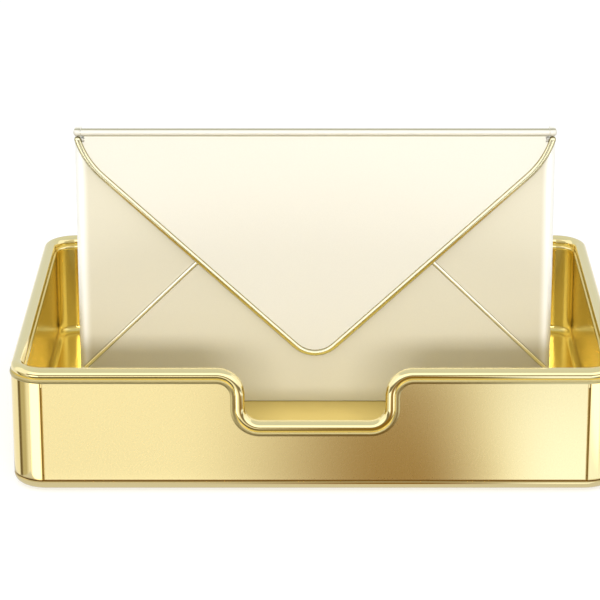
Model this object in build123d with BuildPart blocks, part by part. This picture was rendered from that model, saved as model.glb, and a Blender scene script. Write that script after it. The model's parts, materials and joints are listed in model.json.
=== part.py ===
from build123d import *
from math import cos, radians, sin, tan
import os

os.makedirs("parts", exist_ok=True)

# Desk letter tray with a metal envelope standing in it, in millimetres.
# Origin: middle of the footprint, on the desk. +Z up, the notched front wall faces -Y.

# ---- driving sizes of the tray ----
tray_width = 340.0          # over the rim, left to right
tray_depth = 248.0          # over the rim, front to back
rim_corner_radius = 20.0    # outside of the rim in plan
rim_overhang = 0.7          # rim past the wall, on each side of it
wall_stack = 7.4            # outer face of the panels to inner face of the pan
wall_height = 63.4          # underside of the base to the underside of the rim

panel_thickness = 1.5       # outer sheets and the visible skin of the corner posts
pan_thickness = 1.5         # inner drawn pan, floor and walls
pan_floor_radius = 4.0      # inside, floor to wall
floor_height = 9.0          # underside of the base to the top of the pan's floor

base_thickness = 2.0
base_edge_height = 5.2      # polished band below the panels
base_edge_radius = 4.5      # rounding under that band
base_lip_height = 3.0       # upstand behind the panels
seam_gap = 0.8              # shadow line between the outer pieces
seam_radius = 0.45          # eased edge at each shadow line
post_width = 17.6           # outside face to the shadow line
lip_thickness = 1.2         # lips of posts and base behind the panels
post_lip_reach = 6.0        # how far a post's lip runs behind a panel
lip_clearance = 0.1
corner_relief = 0.3         # post lips to the base's upstand and the rim's tongue

# ---- rim moulding ----
roll_radius = 3.6
roll_rise = 4.35            # roll's centre above the underside of the band
band_height = 2.4
band_bulge = 0.4            # rounding of the band's two edges
tongue_depth = 3.0          # rib that drops between the two walls
tongue_clearance = 0.1

# ---- finger notch in the front wall, on the roll's centre line ----
notch_half_width = 42.5     # at the upright stretches
notch_depth = 31.0
notch_bend_radius = 12.0

# ---- feet, pillars and screws ----
foot_height = 1.2
foot_radius = 8.0
foot_edge = 0.4             # chamfer round the underside
foot_inset = 22.0           # rim's side to the foot's centre
pillar_width = 8.0          # hexagonal, across flats
pillar_spacing_x = 240.0
pillar_spacing_y = 170.0
pillar_columns = 2
pillar_rows = 2
screw_radius = 1.5
screw_clearance = 0.2       # shank in the base
thread_clearance = 0.05     # shank in the pillar
screw_tip_gap = 0.4
screw_head_radius = 2.8
screw_head_height = 1.5
head_clearance = 0.1
drive_width = 2.0           # hexagon socket, across flats
drive_depth = 0.9

# ---- envelope ----
envelope_setback = 116.6    # rim's front to the envelope's face
envelope_width = 278.0
envelope_thickness = 8.0
envelope_sheet = 1.2
hinge_height = 166.5        # hinge axis above the pan's floor
seat_gap = 0.2              # envelope to the pan's floor
bottom_flap_sheet = 0.8
seam_bead_width = 2.4
seam_bead_height = 1.2
seam_start_height = 20.3    # seam above the floor where the face begins to round off
seam_angle = 44.4           # seam to the floor
bottom_flap_top = 108.0     # above the floor, hidden by the top flap
bottom_flap_corner = 8.0
side_flap_lap = 12.5        # side flap behind the bottom flap, measured up the side
mouth_side_drop = 2.0       # mouth's edge at the side, below the shell's top
side_flap_reach = 105.0     # side to the apex
side_flap_corner = 6.0
bar_height = 8.0
bar_clearance = 0.1
tab_length = 50.0
tab_thickness = 5.0
tab_spacing = 170.0
tab_clearance = 0.3
tab_tip_gap = 0.5           # tab to the base
tab_corner_radius = 1.0
socket_margin = 4.0         # metal round each tab slot
socket_corner_radius = 2.0

# ---- top flap and its hinge ----
barrel_radius = 2.15
rod_radius = 1.1
hinge_clearance = 0.05
rod_end_gap = 0.3
lug_length = 4.0
lug_end_radius = 1.7
lug_clearance = 0.3         # lug to the barrel and to the edge bead
lug_top_rise = 0.3          # lug's arm above the hinge axis
shell_top_drop = 2.5        # shell's top edge below the hinge axis
flap_sheet = 1.2
flap_clearance = 0.3        # edge bead to the seam beads
bead_radius = 1.95
bead_grip = 1.5             # flap sheet stops this far inside the bead's centre line
bead_side_inset = 2.4       # envelope's side to the bead's centre line at the top
shoulder_radius = 50.0
shoulder_start_angle = 17.0  # from the vertical
flap_edge_angle = 47.0       # from the vertical
flap_tip_radius = 16.8       # bead's centre line round the tip

# ---- worked-out sizes ----
base_bottom = foot_height
base_top = base_bottom + base_thickness
base_edge_top = base_bottom + base_edge_height
floor_top = base_bottom + floor_height
floor_under = floor_top - pan_thickness
wall_top = base_bottom + wall_height
panel_bottom = base_edge_top + seam_gap
lip_bottom = base_edge_top + base_lip_height + corner_relief
lip_top = wall_top - tongue_depth - corner_relief

wall_width = tray_width - 2 * rim_overhang
wall_depth = tray_depth - 2 * rim_overhang
wall_corner_radius = rim_corner_radius - rim_overhang
pan_inset = wall_stack - pan_thickness
lip_inset = panel_thickness + lip_clearance
band_width = wall_stack + 2 * rim_overhang
tongue_width = wall_stack - panel_thickness - pan_thickness - 2 * tongue_clearance
rim_line_x = tray_width / 2 - band_width / 2
rim_line_y = tray_depth / 2 - band_width / 2
corner_x = tray_width / 2 - rim_corner_radius
corner_y = tray_depth / 2 - rim_corner_radius

crest_radius = notch_bend_radius - roll_rise    # wall's edge round the notch's upper corner
trough_radius = notch_bend_radius + roll_rise   # wall's edge round its lower corner
notch_edge_x = notch_half_width + roll_rise
crest_x = notch_edge_x + crest_radius
trough_x = notch_edge_x - trough_radius
notch_edge_z = wall_top - notch_depth
crest_z = wall_top - crest_radius
trough_z = notch_edge_z + trough_radius

face_y = -tray_depth / 2 + envelope_setback
envelope_y = face_y + envelope_thickness / 2
envelope_bottom = floor_top + seat_gap
side_radius = envelope_thickness / 2
face_half = envelope_width / 2 - side_radius
hinge_z = floor_top + hinge_height
shell_top = hinge_z - shell_top_drop
bead_y = face_y - seam_bead_height - flap_clearance - bead_radius
bar_top = envelope_bottom + bar_height
cut_margin = 10.0           # cutting solids reach this far past what they cut

corners = {
    "front_left": (-1, -1),
    "front_right": (1, -1),
    "back_left": (-1, 1),
    "back_right": (1, 1),
}


def outline(inset, mode=Mode.ADD):
    """Plan of the tray's outer face, drawn in by inset."""
    RectangleRounded(
        wall_width - 2 * inset, wall_depth - 2 * inset, wall_corner_radius - inset, mode=mode
    )


def wall_layer(near, far):
    """Ring in plan between two depths into the wall."""
    outline(near)
    outline(far, mode=Mode.SUBTRACT)


def eased_edges(panel, outward):
    """Upright outer edges at a panel's two ends, and its outer bottom edge."""
    uprights = panel.edges().filter_by(Axis.Z).sort_by_distance((0, 0, wall_top))[-2:]
    bottom = panel.faces().sort_by(Axis.Z)[0].edges().sort_by(outward)[-1]
    return uprights + [bottom]


def notch_cut():
    """Finger notch through the front wall, up to the rim's underside."""
    with BuildSketch(Plane.XZ.offset(tray_depth / 2 - wall_stack - cut_margin)) as notch:
        with BuildLine():
            crest = CenterArc((-crest_x, crest_z), crest_radius, 90, -90)
            trough = CenterArc((-trough_x, trough_z), trough_radius, 180, 90)
            Line(crest @ 1, trough @ 0)
            Line(trough @ 1, (0, notch_edge_z))
            rise = Line(crest @ 0, (-crest_x, wall_top + cut_margin))
            Line(rise @ 1, (0, wall_top + cut_margin))
            mirror(about=Plane.YZ)
        make_face()
    extrude(notch.sketch, amount=wall_stack + 2 * cut_margin, mode=Mode.SUBTRACT)


def rim_section(plane):
    """Moulding: roll on a rounded band, with a tongue that seats between the walls."""
    with BuildSketch(plane) as section:
        with BuildLine():
            flank = Line((0, 0), (band_width / 2 - band_bulge, 0))
            edge = SagittaArc(flank @ 1, flank @ 1 + Vector(0, band_height), -band_bulge)
            Line(edge @ 1, (0, band_height))
            mirror(about=Plane.YZ)
        make_face()
        with Locations((0, roll_rise)):
            Circle(roll_radius)
        with Locations((0, (band_height / 2 - tongue_depth) / 2)):
            Rectangle(tongue_width, tongue_depth + band_height / 2)
    return section.sketch


# ---- inner pan, with the notch and the slots for the envelope's tabs ----
with BuildPart() as inner_pan:
    with BuildSketch(Plane.XY.offset(floor_under)):
        outline(pan_inset)
    extrude(amount=wall_top - floor_under)
    fillet(inner_pan.faces().sort_by(Axis.Z)[0].edges(), pan_floor_radius + pan_thickness)
    offset(amount=-pan_thickness, openings=inner_pan.faces().sort_by(Axis.Z)[-1])
    notch_cut()
    with BuildSketch(Plane.XY.offset(floor_under)):
        with Locations((0, envelope_y)):
            with GridLocations(tab_spacing, 1, 2, 1):
                Rectangle(tab_length + 2 * tab_clearance, tab_thickness + 2 * tab_clearance)
    extrude(amount=pan_thickness, mode=Mode.SUBTRACT)
inner_pan.part.label = "inner_pan"
export_step(inner_pan.part, "parts/inner_pan.step")

# ---- base: bottom plate with a rounded polished edge and an upstand behind the panels ----
with BuildPart() as base_pan:
    with BuildSketch(Plane.XY.offset(base_bottom)):
        outline(0)
    extrude(amount=base_edge_height)
    fillet(base_pan.faces().sort_by(Axis.Z)[0].edges(), base_edge_radius)
    chamfer(base_pan.faces().sort_by(Axis.Z)[-1].edges(), seam_radius)
    with BuildSketch(Plane.XY.offset(base_edge_top)):
        outline(lip_inset)
    extrude(amount=base_lip_height)
    with BuildSketch(Plane.XY.offset(base_top)):
        outline(lip_inset + lip_thickness)
    extrude(amount=base_edge_height + base_lip_height, mode=Mode.SUBTRACT)
    with Locations(Location((0, 0, base_bottom), (180, 0, 0))):
        with GridLocations(pillar_spacing_x, pillar_spacing_y, pillar_columns, pillar_rows):
            CounterSinkHole(
                screw_radius + screw_clearance,
                screw_head_radius + head_clearance,
                depth=base_thickness,
                counter_sink_angle=90,
            )
base_pan.part.label = "base_pan"
export_step(base_pan.part, "parts/base_pan.step")

# ---- satin outer panels ----
panel_height = wall_top - panel_bottom
panel_reach_x = wall_width / 2 - post_width - seam_gap
panel_reach_y = wall_depth / 2 - post_width - seam_gap

with BuildPart() as front_panel:
    with BuildSketch(Plane.XY.offset(panel_bottom)):
        wall_layer(0, panel_thickness)
        with Locations((0, -wall_depth / 2)):
            Rectangle(2 * panel_reach_x, post_width, mode=Mode.INTERSECT)
    extrude(amount=panel_height)
    fillet(eased_edges(front_panel, Axis((0, 0, 0), (0, -1, 0))), seam_radius)
    notch_cut()
front_panel.part.label = "front_panel"
export_step(front_panel.part, "parts/front_panel.step")

with BuildPart() as back_panel:
    with BuildSketch(Plane.XY.offset(panel_bottom)):
        wall_layer(0, panel_thickness)
        with Locations((0, wall_depth / 2)):
            Rectangle(2 * panel_reach_x, post_width, mode=Mode.INTERSECT)
    extrude(amount=panel_height)
    fillet(eased_edges(back_panel, Axis((0, 0, 0), (0, 1, 0))), seam_radius)
back_panel.part.label = "back_panel"
export_step(back_panel.part, "parts/back_panel.step")

for place, hand in (("left", -1), ("right", 1)):
    with BuildPart() as side_panel:
        with BuildSketch(Plane.XY.offset(panel_bottom)):
            wall_layer(0, panel_thickness)
            with Locations((hand * wall_width / 2, 0)):
                Rectangle(post_width, 2 * panel_reach_y, mode=Mode.INTERSECT)
        extrude(amount=panel_height)
        fillet(eased_edges(side_panel, Axis((0, 0, 0), (hand, 0, 0))), seam_radius)
    side_panel.part.label = f"{place}_panel"
    export_step(side_panel.part, f"parts/{place}_panel.step")

# ---- polished corner posts, with lips that run behind the panels ----
for place, (hand, end) in corners.items():
    with BuildPart() as corner_post:
        with BuildSketch(Plane.XY.offset(panel_bottom)):
            wall_layer(0, panel_thickness)
            with Locations((hand * wall_width / 2, end * wall_depth / 2)):
                Rectangle(2 * post_width, 2 * post_width, mode=Mode.INTERSECT)
        extrude(amount=panel_height)
        outer_axis = Axis((0, 0, 0), (hand, end, 0))
        upright_edges = corner_post.edges().filter_by(Axis.Z).sort_by(outer_axis)
        fillet(upright_edges[-2:], seam_radius)
        with BuildSketch(Plane.XY.offset(lip_bottom)):
            wall_layer(panel_thickness, lip_inset + lip_thickness)
            with Locations((hand * wall_width / 2, end * wall_depth / 2)):
                Rectangle(2 * post_width, 2 * post_width, mode=Mode.INTERSECT)
        extrude(amount=lip_top - lip_bottom)
        with BuildSketch(Plane.XY.offset(lip_bottom)):
            wall_layer(lip_inset, lip_inset + lip_thickness)
            with Locations((hand * wall_width / 2, end * wall_depth / 2)):
                lip_span = 2 * (post_width + seam_gap + post_lip_reach)
                Rectangle(lip_span, lip_span, mode=Mode.INTERSECT)
        extrude(amount=lip_top - lip_bottom)
    corner_post.part.label = f"corner_post_{place}"
    export_step(corner_post.part, f"parts/corner_post_{place}.step")

# ---- rim: straight lengths ----
rim_back_plane = Plane(origin=(-corner_x, rim_line_y, wall_top), x_dir=(0, 1, 0), z_dir=(1, 0, 0))
with BuildPart() as rim_back:
    extrude(rim_section(rim_back_plane), amount=2 * corner_x)
rim_back.part.label = "rim_back"
export_step(rim_back.part, "parts/rim_back.step")

for place, hand in (("left", -1), ("right", 1)):
    side_plane = Plane(
        origin=(hand * rim_line_x, -corner_y, wall_top), x_dir=(-1, 0, 0), z_dir=(0, 1, 0)
    )
    with BuildPart() as rim_side:
        extrude(rim_section(side_plane), amount=2 * corner_y)
    rim_side.part.label = f"rim_{place}"
    export_step(rim_side.part, f"parts/rim_{place}.step")

for place, start_x in (("left", -corner_x), ("right", crest_x)):
    run_plane = Plane(origin=(start_x, -rim_line_y, wall_top), x_dir=(0, 1, 0), z_dir=(1, 0, 0))
    with BuildPart() as rim_front:
        extrude(rim_section(run_plane), amount=corner_x - crest_x)
    rim_front.part.label = f"rim_front_{place}"
    export_step(rim_front.part, f"parts/rim_front_{place}.step")

sill_plane = Plane(
    origin=(-trough_x, -rim_line_y, notch_edge_z), x_dir=(0, 1, 0), z_dir=(1, 0, 0)
)
with BuildPart() as rim_notch_sill:
    extrude(rim_section(sill_plane), amount=2 * trough_x)
rim_notch_sill.part.label = "rim_notch_sill"
export_step(rim_notch_sill.part, "parts/rim_notch_sill.step")

# ---- rim: bends of the notch, over the crest, down, and round into the sill ----
crest_plane = Plane(origin=(-crest_x, -rim_line_y, wall_top), x_dir=(0, 1, 0), z_dir=(1, 0, 0))
drop_plane = Plane(origin=(-notch_edge_x, -rim_line_y, crest_z), x_dir=(0, 1, 0), z_dir=(0, 0, -1))
with BuildPart() as rim_bend_left:
    crest_axis = Axis((-crest_x, 0, crest_z), (0, 1, 0))
    revolve(rim_section(crest_plane), axis=crest_axis, revolution_arc=90)
    extrude(rim_section(drop_plane), amount=crest_z - trough_z)
    trough_plane = drop_plane.offset(crest_z - trough_z)
    trough_axis = Axis((-trough_x, 0, trough_z), (0, -1, 0))
    revolve(rim_section(trough_plane), axis=trough_axis, revolution_arc=90)
rim_bend_left.part.label = "rim_bend_left"
export_step(rim_bend_left.part, "parts/rim_bend_left.step")

with BuildPart() as rim_bend_right:
    mirror(rim_bend_left.part, about=Plane.YZ)
rim_bend_right.part.label = "rim_bend_right"
export_step(rim_bend_right.part, "parts/rim_bend_right.step")

# ---- rim: corner elbows ----
for place, (hand, end) in corners.items():
    elbow_plane = Plane(
        origin=(hand * corner_x, end * rim_line_y, wall_top), x_dir=(0, 1, 0), z_dir=(1, 0, 0)
    )
    with BuildPart() as rim_elbow:
        elbow_axis = Axis((hand * corner_x, end * corner_y, 0), (0, 0, -hand * end))
        revolve(rim_section(elbow_plane), axis=elbow_axis, revolution_arc=90)
    rim_elbow.part.label = f"rim_elbow_{place}"
    export_step(rim_elbow.part, f"parts/rim_elbow_{place}.step")

# ---- rubber feet ----
for place, (hand, end) in corners.items():
    foot_place = (hand * (tray_width / 2 - foot_inset), end * (tray_depth / 2 - foot_inset))
    with BuildPart() as foot:
        with BuildSketch():
            with Locations(foot_place):
                Circle(foot_radius)
        extrude(amount=foot_height)
        chamfer(foot.faces().sort_by(Axis.Z)[0].edges(), foot_edge)
    foot.part.label = f"foot_{place}"
    export_step(foot.part, f"parts/foot_{place}.step")

# ---- pillars between the base and the pan's floor ----
pillar_height = floor_under - base_top
with BuildPart() as floor_pillars:
    with BuildSketch(Plane.XY.offset(base_top)):
        with GridLocations(pillar_spacing_x, pillar_spacing_y, pillar_columns, pillar_rows):
            RegularPolygon(pillar_width / 2, 6, major_radius=False)
            Circle(screw_radius + thread_clearance, mode=Mode.SUBTRACT)
    extrude(amount=pillar_height)
floor_pillars.part.label = "floor_pillars"
export_step(floor_pillars.part, "parts/floor_pillars.step")

# ---- countersunk screws from below ----
shank_length = base_thickness + pillar_height - screw_tip_gap
with BuildPart() as base_screws:
    with BuildSketch(Plane.XY.offset(base_bottom)):
        with GridLocations(pillar_spacing_x, pillar_spacing_y, pillar_columns, pillar_rows):
            Circle(screw_radius)
    extrude(amount=shank_length)
    with GridLocations(pillar_spacing_x, pillar_spacing_y, pillar_columns, pillar_rows):
        with Locations((0, 0, base_bottom)):
            Cone(
                screw_head_radius,
                screw_head_radius - screw_head_height,
                screw_head_height,
                align=(Align.CENTER, Align.CENTER, Align.MIN),
            )
    with BuildSketch(Plane.XY.offset(base_bottom)):
        with GridLocations(pillar_spacing_x, pillar_spacing_y, pillar_columns, pillar_rows):
            RegularPolygon(drive_width / 2, 6, major_radius=False)
    extrude(amount=drive_depth, mode=Mode.SUBTRACT)
base_screws.part.label = "base_screws"
export_step(base_screws.part, "parts/base_screws.step")

# ---- socket bar under the floor, which takes the envelope's tabs ----
socket_length = tab_spacing + tab_length + 2 * (tab_clearance + socket_margin)
socket_width = tab_thickness + 2 * (tab_clearance + socket_margin)
with BuildPart() as envelope_socket:
    with BuildSketch(Plane.XY.offset(base_top)):
        with Locations((0, envelope_y)):
            RectangleRounded(socket_length, socket_width, socket_corner_radius)
            with GridLocations(tab_spacing, 1, 2, 1):
                Rectangle(
                    tab_length + 2 * tab_clearance,
                    tab_thickness + 2 * tab_clearance,
                    mode=Mode.SUBTRACT,
                )
    extrude(amount=pillar_height)
envelope_socket.part.label = "envelope_socket"
export_step(envelope_socket.part, "parts/envelope_socket.step")

# ---- envelope: back sheet that wraps round both sides to the face ----
with BuildPart() as envelope_shell:
    with BuildSketch(Plane.XY.offset(envelope_bottom)):
        with Locations((0, envelope_y)):
            SlotOverall(envelope_width, envelope_thickness)
            SlotOverall(
                envelope_width - 2 * envelope_sheet,
                envelope_thickness - 2 * envelope_sheet,
                mode=Mode.SUBTRACT,
            )
        with Locations((0, face_y)):
            Rectangle(2 * face_half, envelope_thickness, mode=Mode.SUBTRACT)
    extrude(amount=shell_top - envelope_bottom)
envelope_shell.part.label = "envelope_shell"
export_step(envelope_shell.part, "parts/envelope_shell.step")

# ---- envelope: side flaps, triangles in the plane of the face ----
seam_z = floor_top + seam_start_height
seam_slope = tan(radians(seam_angle))
side_flap_foot = max(seam_z - side_flap_lap, bar_top + bar_clearance)
apex_z = side_flap_foot + side_flap_reach * seam_slope
mouth_top = shell_top - mouth_side_drop
for place, hand in (("left", -1), ("right", 1)):
    apex = (hand * (face_half - side_flap_reach), apex_z)
    with BuildPart() as side_flap:
        with BuildSketch(Plane.XZ.offset(-face_y)):
            with BuildLine():
                Polyline(
                    (hand * face_half, side_flap_foot), apex, (hand * face_half, mouth_top), close=True
                )
            make_face()
            inner_axis = Axis((0, 0, 0), (-hand, 0, 0))
            fillet(vertices().sort_by(inner_axis)[-1], side_flap_corner)
        extrude(amount=-envelope_sheet)
    side_flap.part.label = f"{place}_flap"
    export_step(side_flap.part, f"parts/{place}_flap.step")

# ---- envelope: bottom flap over the side flaps ----
bottom_flap_z = floor_top + bottom_flap_top
seam_run = (bottom_flap_z - seam_z) / seam_slope
with BuildPart() as bottom_flap:
    with BuildSketch(Plane.XZ.offset(-face_y)):
        with BuildLine():
            Polyline(
                (-face_half, envelope_bottom),
                (face_half, envelope_bottom),
                (face_half, seam_z),
                (face_half - seam_run, bottom_flap_z),
                (seam_run - face_half, bottom_flap_z),
                (-face_half, seam_z),
                close=True,
            )
        make_face()
        fillet(vertices().group_by(Axis.Z)[-1], bottom_flap_corner)
    extrude(amount=bottom_flap_sheet)
bottom_flap.part.label = "bottom_flap"
export_step(bottom_flap.part, "parts/bottom_flap.step")

# ---- envelope: half-round beads that cover the bottom flap's slanted edges ----
corner_setback = bottom_flap_corner * tan(radians(seam_angle / 2))
seam_length = seam_run / cos(radians(seam_angle)) - corner_setback
for place, hand in (("left", -1), ("right", 1)):
    along = Vector(-hand * cos(radians(seam_angle)), 0, sin(radians(seam_angle)))
    outward = Vector(hand * sin(radians(seam_angle)), 0, cos(radians(seam_angle)))
    seam_origin = Vector(hand * face_half, face_y, seam_z) + outward * (seam_bead_width / 2)
    seam_plane = Plane(origin=seam_origin, x_dir=outward, z_dir=along * hand)
    with BuildPart() as seam_bead:
        with BuildSketch(seam_plane):
            Ellipse(seam_bead_width / 2, seam_bead_height)
            with Locations((0, -seam_bead_height / 2)):
                Rectangle(seam_bead_width, seam_bead_height, mode=Mode.INTERSECT)
        extrude(amount=hand * seam_length)
    seam_bead.part.label = f"{place}_seam_bead"
    export_step(seam_bead.part, f"parts/{place}_seam_bead.step")

# ---- envelope: bar that closes the bottom, with two tabs for the socket ----
bar_back = face_y + envelope_thickness - envelope_sheet - bar_clearance
with BuildPart() as bottom_bar:
    with BuildSketch(Plane.XY.offset(envelope_bottom)):
        with Locations((0, (face_y + bar_back) / 2)):
            Rectangle(2 * face_half, bar_back - face_y)
    extrude(amount=bar_height)
    with BuildSketch(Plane.XY.offset(envelope_bottom)):
        with Locations((0, envelope_y)):
            with GridLocations(tab_spacing, 1, 2, 1):
                Rectangle(tab_length, tab_thickness)
    extrude(amount=-(envelope_bottom - base_top - tab_tip_gap))
    tab_corners = bottom_bar.edges().filter_by(Axis.Y).group_by(Axis.Z)[0]
    fillet(tab_corners, tab_corner_radius)
bottom_bar.part.label = "bottom_bar"
export_step(bottom_bar.part, "parts/bottom_bar.step")

# ---- hinge: lugs on the envelope's top corners, and the rod through them ----
lug_inner_x = envelope_width / 2 - lug_length
rod_half = envelope_width / 2 - lug_end_radius - rod_end_gap
with BuildPart() as hinge_lug_left:
    with BuildSketch(Plane.YZ.offset(-envelope_width / 2)):
        with Locations((bead_y, hinge_z)):
            Circle(barrel_radius)
    extrude(amount=lug_length)
    fillet(hinge_lug_left.faces().sort_by(Axis.X)[0].edges(), lug_end_radius)
    with BuildSketch(Plane.XY.offset(shell_top)):
        with Locations((0, envelope_y)):
            SlotOverall(envelope_width, envelope_thickness)
        with Locations((0, (bead_y + envelope_y) / 2)):
            Rectangle(2 * face_half + lug_length, envelope_y - bead_y)
        with Locations((-envelope_width / 2, envelope_y)):
            Rectangle(2 * lug_length, 2 * envelope_thickness, mode=Mode.INTERSECT)
    extrude(amount=shell_top_drop + lug_top_rise)
    with BuildSketch(Plane.YZ.offset(-lug_inner_x)):
        with Locations((bead_y, hinge_z)):
            Circle(rod_radius + hinge_clearance)
    extrude(amount=-(rod_half + rod_end_gap - lug_inner_x), mode=Mode.SUBTRACT)
hinge_lug_left.part.label = "hinge_lug_left"
export_step(hinge_lug_left.part, "parts/hinge_lug_left.step")

with BuildPart() as hinge_lug_right:
    mirror(hinge_lug_left.part, about=Plane.YZ)
hinge_lug_right.part.label = "hinge_lug_right"
export_step(hinge_lug_right.part, "parts/hinge_lug_right.step")

with BuildPart() as hinge_rod:
    with BuildSketch(Plane.YZ.offset(-rod_half)):
        with Locations((bead_y, hinge_z)):
            Circle(rod_radius)
    extrude(amount=2 * rod_half)
hinge_rod.part.label = "hinge_rod"
export_step(hinge_rod.part, "parts/hinge_rod.step")

# ---- top flap: centre line of its edge bead, shoulder, slanted edge and rounded tip ----
bead_start_x = envelope_width / 2 - bead_side_inset
bead_start_z = hinge_z - barrel_radius - lug_clearance - bead_radius
edge_slope = tan(radians(90 - flap_edge_angle))
shoulder_run = shoulder_radius * (
    cos(radians(shoulder_start_angle)) - cos(radians(flap_edge_angle))
)
shoulder_fall = shoulder_radius * (
    sin(radians(flap_edge_angle)) - sin(radians(shoulder_start_angle))
)
edge_vertex_z = bead_start_z - shoulder_fall - edge_slope * (bead_start_x - shoulder_run)
tip_centre_z = edge_vertex_z + flap_tip_radius / sin(radians(flap_edge_angle))
bead_plane = Plane(origin=(0, bead_y, 0), x_dir=(1, 0, 0), z_dir=(0, -1, 0))


def bead_curve():
    """Shoulder, slanted edge and tip, drawn in the bead's plane from corner to corner."""
    shoulder = JernArc(
        start=(-bead_start_x, bead_start_z),
        tangent=(sin(radians(shoulder_start_angle)), -cos(radians(shoulder_start_angle))),
        radius=shoulder_radius,
        arc_size=flap_edge_angle - shoulder_start_angle,
    )
    tip = CenterArc(
        (0, tip_centre_z), flap_tip_radius, 180 + flap_edge_angle, 90 - flap_edge_angle
    )
    Line(shoulder @ 1, tip @ 0)
    mirror(about=Plane.YZ)


barrel_half = lug_inner_x - lug_clearance
with BuildPart() as top_flap:
    with BuildSketch(bead_plane) as flap_outline:
        with BuildLine():
            bead_curve()
            Line((-bead_start_x, bead_start_z), (bead_start_x, bead_start_z))
        make_face()
        offset(amount=-bead_grip, kind=Kind.INTERSECTION)
        with Locations((0, (bead_start_z - 2 * bead_grip + hinge_z) / 2)):
            Rectangle(2 * barrel_half - 2 * bead_radius, hinge_z - bead_start_z + 2 * bead_grip)
    extrude(amount=flap_sheet / 2, both=True)
    with BuildSketch(Plane.YZ.offset(-barrel_half)):
        with Locations((bead_y, hinge_z)):
            Circle(barrel_radius)
    extrude(amount=2 * barrel_half)
    with BuildSketch(Plane.YZ.offset(-barrel_half)):
        with Locations((bead_y, hinge_z)):
            Circle(rod_radius + hinge_clearance)
    extrude(amount=2 * barrel_half, mode=Mode.SUBTRACT)
top_flap.part.label = "top_flap"
export_step(top_flap.part, "parts/top_flap.step")

with BuildLine(bead_plane) as bead_line:
    bead_curve()
bead_wire = bead_line.wire()
with BuildPart() as flap_edge_bead:
    with BuildSketch(Plane(origin=bead_wire @ 0, z_dir=bead_wire % 0)):
        Circle(bead_radius)
    sweep(path=bead_wire)
    for end_point in (bead_wire @ 0, bead_wire @ 1):
        with Locations(end_point):
            Sphere(bead_radius)
    add(top_flap.part, mode=Mode.SUBTRACT)
flap_edge_bead.part.label = "flap_edge_bead"
export_step(flap_edge_bead.part, "parts/flap_edge_bead.step")
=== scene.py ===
import json
import math

import bpy
from mathutils import Matrix, Vector


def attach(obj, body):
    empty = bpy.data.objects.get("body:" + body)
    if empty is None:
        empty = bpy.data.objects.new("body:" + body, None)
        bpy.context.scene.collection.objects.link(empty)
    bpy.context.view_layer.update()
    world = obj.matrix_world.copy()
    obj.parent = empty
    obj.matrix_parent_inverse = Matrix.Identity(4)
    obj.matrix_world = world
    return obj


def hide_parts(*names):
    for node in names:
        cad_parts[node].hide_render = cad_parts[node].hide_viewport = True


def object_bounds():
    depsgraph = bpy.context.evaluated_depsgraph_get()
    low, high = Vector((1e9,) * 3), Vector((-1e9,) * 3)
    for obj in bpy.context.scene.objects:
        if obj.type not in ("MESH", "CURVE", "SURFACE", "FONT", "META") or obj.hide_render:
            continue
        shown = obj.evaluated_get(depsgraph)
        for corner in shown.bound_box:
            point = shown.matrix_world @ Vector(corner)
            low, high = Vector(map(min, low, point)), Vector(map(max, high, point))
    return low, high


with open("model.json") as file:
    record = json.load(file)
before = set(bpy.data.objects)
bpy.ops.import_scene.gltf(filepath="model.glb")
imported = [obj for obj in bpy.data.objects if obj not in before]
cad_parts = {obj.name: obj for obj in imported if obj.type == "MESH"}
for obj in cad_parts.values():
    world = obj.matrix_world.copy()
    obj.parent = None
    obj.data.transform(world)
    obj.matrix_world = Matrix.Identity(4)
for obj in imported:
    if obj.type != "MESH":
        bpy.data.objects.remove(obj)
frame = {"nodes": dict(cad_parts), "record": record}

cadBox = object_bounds()
nodes = frame["nodes"]
print("frame loaded:", len(nodes), "nodes")


cameraPlan = {
    "place": (0.0, -1.607, 0.6264),
    "tilt": 70.93,    # degrees up from looking straight down
    "lens": 172.84,
    "sensor": 36.0,    # millimetres, as the lens
    "shiftX": -0.0252,    # the tray stands 15 px right of the middle of the frame
}


def addCamera(plan):
    data = bpy.data.cameras.new("photoCamera")
    data.lens = plan["lens"]
    data.sensor_width = plan["sensor"]
    data.shift_x = plan["shiftX"]
    camera = bpy.data.objects.new("photoCamera", data)
    camera.location = plan["place"]
    camera.rotation_euler = (math.radians(plan["tilt"]), 0, 0)
    bpy.context.scene.collection.objects.link(camera)
    bpy.context.scene.camera = camera


def srgb(red, green, blue):    # a colour as a paint chart gives it, 0 to 255, for a colour socket
    def linear(value):
        share = value / 255
        return share / 12.92 if share <= 0.04045 else ((share + 0.055) / 1.055) ** 2.4
    return (linear(red), linear(green), linear(blue), 1)


class Socket:    # a node's output; an operator on it adds a Math node
    def __init__(self, graph, output):
        self.graph = graph
        self.output = output

    def __add__(self, other):
        return self.graph.maths("ADD", self, other)

    def __radd__(self, other):
        return self.graph.maths("ADD", other, self)

    def __sub__(self, other):
        return self.graph.maths("SUBTRACT", self, other)

    def __rsub__(self, other):
        return self.graph.maths("SUBTRACT", other, self)

    def __mul__(self, other):
        return self.graph.maths("MULTIPLY", self, other)

    def __rmul__(self, other):
        return self.graph.maths("MULTIPLY", other, self)

    def __gt__(self, other):
        return self.graph.maths("GREATER_THAN", self, other)

    def __lt__(self, other):
        return self.graph.maths("LESS_THAN", self, other)

    def __abs__(self):
        return self.graph.maths("ABSOLUTE", self)


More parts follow.
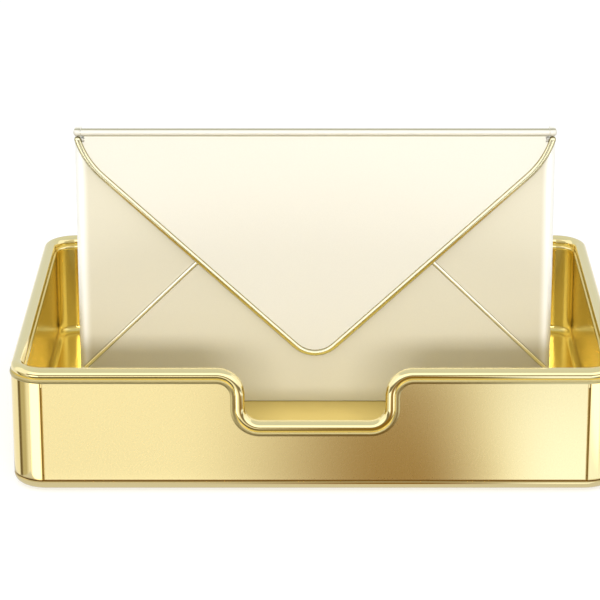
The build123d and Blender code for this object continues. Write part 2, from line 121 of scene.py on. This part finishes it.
class Graph:    # the nodes of one material or of the world
    def __init__(self, tree):
        self.tree = tree

    def node(self, kind, settings=None, inputs=None, output=0):    # an end node has no output to give
        made = self.tree.nodes.new(kind)
        for key, value in (settings or {}).items():
            setattr(made, key, value)
        for key, value in (inputs or {}).items():
            self.feed(made.inputs[key], value)
        return Socket(self, made.outputs[output]) if len(made.outputs) else None

    def feed(self, target, value):
        if isinstance(value, Socket):
            self.tree.links.new(value.output, target)
        else:
            target.default_value = value

    def maths(self, operation, first, second=0.0):
        return self.node("ShaderNodeMath", {"operation": operation}, {0: first, 1: second})

    def ramp(self, value, start, end):    # 0 before start, 1 after end, eased between them
        return self.node("ShaderNodeMapRange", {"interpolation_type": "SMOOTHSTEP"},
                         {"Value": value, "From Min": start, "From Max": end})

    def window(self, value, low, high, soft):    # 1 between low and high, easing to 0 over soft
        return self.ramp(value, low - soft, low) * (1 - self.ramp(value, high, high + soft))

    def mix(self, factor, first, second, blend="MIX"):
        return self.node("ShaderNodeMix", {"data_type": "RGBA", "blend_type": blend},
                         {0: factor, 6: first, 7: second}, 2)

    def dim(self, mask, shade, tint):    # the shade times a tint, where the mask is 1
        return self.mix(mask, shade, self.mix(1.0, shade, tint, "MULTIPLY"))

    def split(self, vector):    # its x, y and z
        first = self.node("ShaderNodeSeparateXYZ", inputs={0: vector})
        return [Socket(self, axis) for axis in first.output.node.outputs]


def newMaterial(name):    # a material without nodes, and its graph
    material = bpy.data.materials.new(name)
    material.use_nodes = True
    material.node_tree.nodes.clear()
    return material, Graph(material.node_tree)


floorPlan = {
    "halfWidth": 12.0,
    "shade": 0.62,    # what light and the tray's shadow act on
    "glow": 0.48,    # added for the camera, so that the open floor is white
}


def addFloor(plan):
    bpy.ops.mesh.primitive_plane_add(size=2 * plan["halfWidth"], location=(0, 0, 0))
    floor = bpy.context.object
    floor.name = "studioFloor"
    material, graph = newMaterial("studioFloor")
    seen = graph.node("ShaderNodeLightPath", output="Is Camera Ray")
    paint = graph.node("ShaderNodeBsdfDiffuse", inputs={"Color": (plan["shade"],) * 3 + (1,)})
    glow = graph.node("ShaderNodeEmission", inputs={"Strength": seen * plan["glow"]})
    shader = graph.node("ShaderNodeAddShader", inputs={0: paint, 1: glow})
    graph.node("ShaderNodeOutputMaterial", inputs={"Surface": shader})
    floor.data.materials.append(material)
    floor.visible_glossy = False    # polished metal mirrors the studio, not the table
    return floor


def addReflector(name, low, high, height, material):    # a flat sheet over the table, seen only in gloss
    bpy.ops.mesh.primitive_plane_add(size=1, location=(0, 0, 0))
    sheet = bpy.context.object
    sheet.name = name
    sheet.data.transform(Matrix.Diagonal((high[0] - low[0], high[1] - low[1], 1, 1)))
    sheet.data.transform(Matrix.Translation(((low[0] + high[0]) / 2, (low[1] + high[1]) / 2, height)))
    sheet.data.materials.append(material)
    sheet.visible_camera = False
    sheet.visible_diffuse = False
    sheet.visible_shadow = False
    sheet.visible_transmission = False


cardPlan = {    # soft-edged cards on the table in front of the tray
    "darkCard": {
        "tone": (0.27, 0.15, 0.02, 1),
        "across": (-0.085, 0.042, 0.056, 0.128),    # x where it starts, is full, is still full, and ends
        "deep": (-0.38, -0.128),
        "fade": 0.05,    # along its far edge
        "height": 0.0006,
    },
    "brightCard": {
        "tone": (1.12, 1.22, 1.45, 1),
        "across": (0.095, 0.14, 0.17, 0.22),
        "deep": (-0.38, -0.128),
        "fade": 0.05,
        "height": 0.0009,
    },
}


def addCard(name, plan):
    start, full, last, end = plan["across"]
    far, near = plan["deep"]
    material, graph = newMaterial(name)
    x, y = graph.split(graph.node("ShaderNodeTexCoord", output="Object"))[:2]
    across = graph.ramp(x, start, full) * (1 - graph.ramp(x, last, end))
    along = graph.ramp(y, far, far + plan["fade"])
    clear = graph.node("ShaderNodeBsdfTransparent")
    shown = graph.node("ShaderNodeEmission", inputs={"Color": plan["tone"]})
    shader = graph.node("ShaderNodeMixShader", inputs={0: across * along, 1: clear, 2: shown})
    graph.node("ShaderNodeOutputMaterial", inputs={"Surface": shader})
    addReflector(name, (start, far), (end, near), plan["height"], material)


apronPlan = {    # the pale table round the base, for the base's polished edge
    "margin": 0.012,
    "height": 0.0003,
    "tone": (0.70, 0.71, 0.78, 1),
}


def addApron(plan):
    material, graph = newMaterial("apron")
    shader = graph.node("ShaderNodeEmission", inputs={"Color": plan["tone"]})
    graph.node("ShaderNodeOutputMaterial", inputs={"Surface": shader})
    low = [value - plan["margin"] for value in cadBox[0][:2]]
    high = [value + plan["margin"] for value in cadBox[1][:2]]
    addReflector("apron", low, high, plan["height"], material)


studioPlan = {
    "open": (1.0, 1.0, 1.0, 1),
    "bands": [    # tone, then in degrees the turn from the camera's side, the rise and the soft edge
        ((0.72, 0.76, 0.80, 1), (-1, 181), (48, 95), 8),    # overhead
        ((0.76, 0.80, 0.82, 1), (105, 181), (6, 95), 14),    # behind
        ((1.60, 1.62, 1.60, 1), (-1, 60), (12, 34), 7),    # front
        ((1.15, 1.17, 1.20, 1), (60, 112), (2, 40), 10),    # sides
        ((0.56, 0.52, 0.38, 1), (76, 92), (-60, -15), 16),    # low at the sides
        ((0.17, 0.13, 0.07, 1), (95, 101), (-60, -15), 7),
        ((0.12, 0.10, 0.05, 1), (-1, 60), (-60, -33), 5),    # below the camera
        ((0.22, 0.19, 0.13, 1), (-1, 60), (-12, 0), 3),    # just below level in front
        ((1.48, 1.47, 1.35, 1), (-1, 15), (-23.5, -19.5), 1.6),    # table in front
        ((2.10, 2.10, 2.10, 1), (24, 50), (-29, -17), 5),    # table to either side of that
    ],
}


def addStudio(plan):    # the world that polished metal mirrors; the camera itself sees white
    world = bpy.data.worlds.new("studio")
    bpy.context.scene.world = world
    world.use_nodes = True
    graph = Graph(world.node_tree)
    graph.tree.nodes.clear()
    x, y, z = graph.split(graph.node("ShaderNodeTexCoord", output="Generated"))
    turn = abs(graph.maths("ARCTAN2", x, -1 * y)) * math.degrees(1)
    rise = graph.maths("ARCSINE", z) * math.degrees(1)
    tone = plan["open"]
    for bandTone, turns, rises, soft in plan["bands"]:
        inside = graph.window(turn, *turns, soft) * graph.window(rise, *rises, soft)
        tone = graph.mix(inside, tone, bandTone)
    seen = graph.node("ShaderNodeLightPath", output="Is Camera Ray")
    shader = graph.node("ShaderNodeBackground", inputs={"Color": graph.mix(seen, tone, (1, 1, 1, 1))})
    graph.node("ShaderNodeOutputWorld", inputs={"Surface": shader})


lampPlan = {    # "lights" names the finishes that a lamp reaches; the others show only the painted studio
    "frontBox": {    # casts the front wall's shadow on the envelope
        "place": (0.0, -1.75, 0.45),
        "aim": (0.0, 0.0, 0.08),
        "size": (0.70, 0.17),
        "power": 15.5,
        "lights": ("satinGold", "linerGold", "champagne", "flapChampagne", "seamChampagne", "steel",
                   "innerMetal", "rubber", "floor"),
    },
    "backBox": {    # for the envelope's back, which the front lamp doesn't reach
        "place": (0.0, 1.65, 0.75),
        "aim": (0.0, 0.0, 0.08),
        "size": (0.70, 0.40),
        "power": 9.0,
        "lights": ("champagne", "flapChampagne", "seamChampagne"),
    },
}
litBy = {}    # each lamp's collection of what it lights


def addLamp(name, plan):
    data = bpy.data.lights.new(name, "AREA")
    data.shape = "RECTANGLE"
    data.size, data.size_y = plan["size"]
    data.energy = plan["power"]
    lamp = bpy.data.objects.new(name, data)
    lamp.location = plan["place"]
    way = Vector(plan["aim"]) - Vector(plan["place"])
    lamp.rotation_euler = way.to_track_quat("-Z", "Y").to_euler()
    bpy.context.scene.collection.objects.link(lamp)
    litBy[name] = bpy.data.collections.new(name + "Lit")
    lamp.light_linking.receiver_collection = litBy[name]


def lightUp(piece, finishName):    # puts a piece into the collections of the lamps that reach its finish
    for name, plan in lampPlan.items():
        if finishName in plan["lights"]:
            litBy[name].objects.link(piece)


bpy.context.scene.view_settings.view_transform = "Standard"
addCamera(cameraPlan)
floor = addFloor(floorPlan)
for name, plan in cardPlan.items():
    addCard(name, plan)
addApron(apronPlan)
addStudio(studioPlan)
for name, plan in lampPlan.items():
    addLamp(name, plan)
lightUp(floor, "floor")
print("camera, floor and light in place")


wallPlan = {    # the tray's outer wall, under the rim
    "rimCorner": 0.020,    # radius of the rim's outer corners
    "overhang": 0.0007,    # rim past the wall's face
    "slack": 0.0001,    # this near to a face counts as on it
}


def wallDepth(graph, x, y):    # how far a point lies behind the wall's outer face
    farX, farY = [graph.maths("MAXIMUM", abs(value) - (reach - wallPlan["rimCorner"]), 0.0)
                  for value, reach in zip((x, y), cadBox[1])]
    return wallPlan["rimCorner"] - wallPlan["overhang"] - graph.maths("SQRT", farX * farX + farY * farY)


seamPlan = {    # shadow lines between the outer sheets, with painted shade on their eased edges and on the lips behind them
    "gap": 0.0008,
    "post": 0.0176,    # wall's face to the line beside a corner post
    "base": 0.0064,    # where the line above the base's edge begins
    "top": 0.0645,    # just under the rim
    "soft": 0.0009,
    "tint": (0.62, 0.52, 0.36, 1),    # painted shade on the eased edges
    "lipDepth": 0.0011,    # the lips lie deeper than this behind the wall's face
    # painted shade on the lips deep in the gaps
    "lipPaintedShade": srgb(150, 118, 54),
}


def seamPaintedShade(graph, place, shade, rough):    # paints shade on the lips and on the eased edges at each shadow line
    plan = seamPlan
    x, y, z = graph.split(place)
    starts = [reach - wallPlan["overhang"] - plan["post"] - plan["gap"] for reach in cadBox[1][:2]]
    lineX, lineY = [graph.window(abs(value), start, start + plan["gap"], plan["soft"])
                    for value, start in zip((x, y), starts)]
    lineZ = graph.window(z, plan["base"], plan["base"] + plan["gap"], plan["soft"])
    upright = graph.maths("MAXIMUM", lineX, lineY) * (z > plan["base"] + plan["gap"])
    shade = graph.dim(graph.maths("MAXIMUM", upright, lineZ) * (z < plan["top"]), shade, plan["tint"])
    onWall = (z > plan["base"] - wallPlan["slack"]) * (z < plan["top"])
    behind = wallDepth(graph, x, y) > plan["lipDepth"]
    return graph.mix(behind * onWall, shade, plan["lipPaintedShade"]), rough


flankPlan = {"tint": (0.62, 0.60, 0.52, 1), "rougher": 0.24}    # where the rim is proud of the wall's face


def flankShade(graph, place, shade, rough):    # dims the rim's band, which is less polished than its roll
    x, y = graph.split(place)[:2]
    flank = wallDepth(graph, x, y) < wallPlan["slack"]
    return graph.dim(flank, shade, flankPlan["tint"]), rough + flank * flankPlan["rougher"]


beadPlan = {    # painted shade and dark reflection, olive, in the creases beside the beads, by y
    "edgeCrown": -0.0124,    # edge bead, from its crown to its crease
    "edgeCrease": -0.0118,
    "seamCrown": -0.0083,    # seam beads, likewise
    "seamCrease": -0.0078,
    "between": -0.0089,    # behind the edge bead and in front of the seam beads
    "tint": (0.34, 0.29, 0.13, 1),
}


def beadPaintedShade(graph, place, shade, rough):    # paints shade and dark reflection on a bead's two sides, where it meets the sheets
    plan = beadPlan
    y = graph.split(place)[1]
    edge = graph.ramp(y, plan["edgeCrown"], plan["edgeCrease"]) * (y < plan["between"])
    seam = graph.ramp(y, plan["seamCrown"], plan["seamCrease"])
    return graph.dim(edge + seam, shade, plan["tint"]), rough


# painted highlight along the envelope's rounded side edges
sideHighlightPlan = {"across": (0.1310, 0.1362), "tone": srgb(255, 254, 250)}


def sidePaintedHighlight(graph, place, shade, rough):    # a painted highlight on the envelope's two rounded side edges
    x = graph.split(place)[0]
    return graph.mix(graph.ramp(abs(x), *sideHighlightPlan["across"]), shade, sideHighlightPlan["tone"]), rough


barrelPlan = {    # painted shade and dark reflection as lines on the hinge barrel's top and at its root, by z
    "top": (0.1780, 0.1787),
    "root": (0.1745, 0.1749),
    "soft": 0.0003,
    "tint": (0.62, 0.60, 0.46, 1),
}


def barrelPaintedShade(graph, place, shade, rough):    # paints those dark lines
    plan = barrelPlan
    z = graph.split(place)[2]
    lines = graph.ramp(z, *plan["top"]) + graph.window(z, *plan["root"], plan["soft"])
    return graph.dim(lines, shade, plan["tint"]), rough


def plainShade(graph, place, shade, rough):
    return shade, rough


finishPlan = {
    "polishedGold": {"tone": srgb(246, 226, 162), "rough": 0.10, "grain": 0.02, "shading": seamPaintedShade},
    "rimGold": {"tone": srgb(246, 230, 172), "rough": 0.10, "grain": 0.02, "shading": flankShade},
    "satinGold": {"tone": srgb(250, 232, 172), "rough": 0.28, "grain": 0.04, "shading": seamPaintedShade},
    "linerGold": {"tone": srgb(236, 214, 130), "rough": 0.19, "grain": 0.12, "shading": plainShade,
                  "stretch": (0.35, 0.35, 0.01)},    # drawn, with fine upright lines on its walls
    "champagne": {"tone": srgb(230, 225, 208), "rough": 0.74, "grain": 0.04, "shading": sidePaintedHighlight},
    "flapChampagne": {"tone": srgb(240, 237, 228), "rough": 0.80, "grain": 0.04, "shading": barrelPaintedShade},
    "trimGold": {"tone": srgb(250, 243, 206), "rough": 0.26, "grain": 0.02, "shading": beadPaintedShade},
    "seamChampagne": {"tone": srgb(252, 249, 234), "rough": 0.36, "grain": 0.02, "shading": beadPaintedShade},
    "steel": {"tone": srgb(190, 188, 184), "rough": 0.28, "grain": 0.05, "shading": plainShade},
    "innerMetal": {"tone": srgb(205, 200, 188), "rough": 0.42, "grain": 0.05, "shading": plainShade},
}
grainPlan = {"scale": 2600.0, "detail": 1.0, "dark": 0.96}    # of every metal


def metalFinish(name, plan):
    material = bpy.data.materials.new(name)
    material.use_nodes = True
    graph = Graph(material.node_tree)
    shader = graph.tree.nodes["Principled BSDF"]
    shader.inputs["Metallic"].default_value = 1
    place = graph.node("ShaderNodeTexCoord", output="Object")
    drawn = graph.node("ShaderNodeVectorMath", {"operation": "MULTIPLY"},
                       {0: place, 1: plan.get("stretch", (1, 1, 1))})
    grain = graph.node("ShaderNodeTexNoise",
                       inputs={"Vector": drawn, "Scale": grainPlan["scale"], "Detail": grainPlan["detail"]})
    rough = plan["rough"] - plan["grain"] / 2 + grain * plan["grain"]
    dark = tuple(grainPlan["dark"] * part for part in plan["tone"][:3]) + (1,)
    shade, rough = plan["shading"](graph, place, graph.mix(grain, plan["tone"], dark), rough)
    graph.feed(shader.inputs["Roughness"], rough)
    graph.feed(shader.inputs["Base Color"], shade)
    return material


rubberPlan = {"tone": srgb(30, 30, 31), "rough": 0.7}


def rubberFinish(plan):
    material = bpy.data.materials.new("rubber")
    material.use_nodes = True
    shader = material.node_tree.nodes["Principled BSDF"]
    shader.inputs["Base Color"].default_value = plan["tone"]
    shader.inputs["Roughness"].default_value = plan["rough"]
    return material


finishes = {name: metalFinish(name, plan) for name, plan in finishPlan.items()}
finishes["rubber"] = rubberFinish(rubberPlan)
print("finishes made:", len(finishes))


slotFinish = {
    "polished_gold": "polishedGold",
    "satin_gold": "satinGold",
    "liner_gold": "linerGold",
    "inner_metal": "innerMetal",
    "champagne": "champagne",
    "flap_champagne": "flapChampagne",
    "trim_gold": "trimGold",
    "steel": "steel",
    "rubber": "rubber",
}
finishOf = {    # pieces whose finish differs from the rest of their slot
    "left_seam_bead": "seamChampagne",
    "right_seam_bead": "seamChampagne",
    "hinge_lug_left": "flapChampagne",
    "hinge_lug_right": "flapChampagne",
}
finishOf.update((name, "rimGold") for name in nodes if name.startswith("rim_"))
smoothPlan = {"merge": 2e-6, "crease": 32}    # metres and degrees


def smoothCopy(nodeName, slotName, bodyName):    # a CAD node's shape, merged and smoothed
    source = nodes[nodeName]
    piece = bpy.data.objects.new(nodeName + ".finished", source.data.copy())
    bpy.context.scene.collection.objects.link(piece)
    bpy.ops.object.select_all(action="DESELECT")
    piece.select_set(True)
    bpy.context.view_layer.objects.active = piece
    bpy.ops.object.mode_set(mode="EDIT")
    bpy.ops.mesh.select_all(action="SELECT")
    bpy.ops.mesh.remove_doubles(threshold=smoothPlan["merge"])
    bpy.ops.object.mode_set(mode="OBJECT")
    if piece.data.has_custom_normals:
        bpy.ops.mesh.customdata_custom_splitnormals_clear()
    bpy.ops.object.shade_smooth_by_angle(angle=math.radians(smoothPlan["crease"]))
    lean = piece.modifiers.new("faceWeights", "WEIGHTED_NORMAL")
    lean.mode = "FACE_AREA_WITH_ANGLE"
    lean.keep_sharp = True
    bpy.ops.object.modifier_apply(modifier=lean.name)
    piece.data.materials.clear()
    finishName = finishOf.get(nodeName, slotFinish[slotName])
    piece.data.materials.append(finishes[finishName])
    lightUp(piece, finishName)
    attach(piece, bodyName)
    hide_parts(nodeName)


record = frame["record"]
slotOf = {row["node"]: row["material_slot"] for row in record["subparts"]}
bodyOf = {name: body for body, members in record["behaviour"]["bodies"].items() for name in members}
for name in sorted(nodes):
    smoothCopy(name, slotOf[name], bodyOf[name])
print("pieces finished:", len(nodes))
